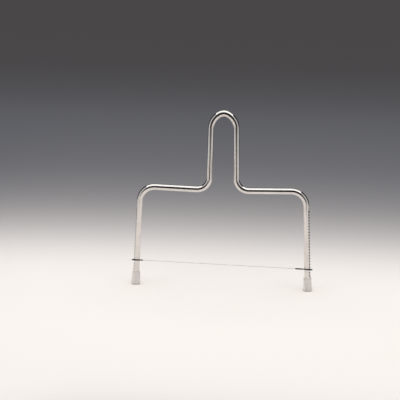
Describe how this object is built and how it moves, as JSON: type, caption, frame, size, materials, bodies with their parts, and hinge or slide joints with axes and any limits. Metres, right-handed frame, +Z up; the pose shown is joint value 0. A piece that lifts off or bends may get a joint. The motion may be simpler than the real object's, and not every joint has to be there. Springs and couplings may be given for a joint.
{
  "type": "wire cheese slicer",
  "caption": "Free-standing wire cheese slicer: a bent steel tube with a tall grip loop, notched splayed legs, push-on feet and a taut cutting wire hooked round both legs.",
  "frame": {"origin": "on the floor, midway between the two feet", "axes": "+X from the left foot to the right foot, +Y through the slicer from front to back, +Z up"},
  "size_m": [0.3037, 0.0148, 0.3],
  "materials": {
    "frame_steel": "bright polished stainless steel tube",
    "foot_plastic": "milky translucent polyethylene, moulded",
    "wire_steel": "drawn stainless spring wire"
  },
  "bodies": {
    "frame": {"frame_tube": "frame_steel", "left_foot": "foot_plastic", "right_foot": "foot_plastic"},
    "left_end": {"left_wire_eye": "wire_steel"},
    "wire": {"cutting_wire": "wire_steel"},
    "right_end": {"right_wire_eye": "wire_steel"}
  },
  "joints": [
    {"name": "wire_height", "type": "slide", "parent": "frame", "child": "left_end", "axis": [0.0532, 0, 0.9986], "range_m": [-0.01, 0.09]},
    {"name": "wire_level", "type": "hinge", "parent": "left_end", "child": "wire", "pos_m": [-0.13225, 0, 0.04176], "axis": [0, -1, 0], "range_deg": [0, 1]},
    {"name": "right_end_closing", "type": "slide", "parent": "wire", "child": "right_end", "axis": [0.9998, 0, -0.0175], "range_m": [-0.0097, 0.0011]}
  ],
  "couplings": [
    {"joint": "right_end_closing", "follows": "wire_height", "ratio": -0.10653}
  ]
}
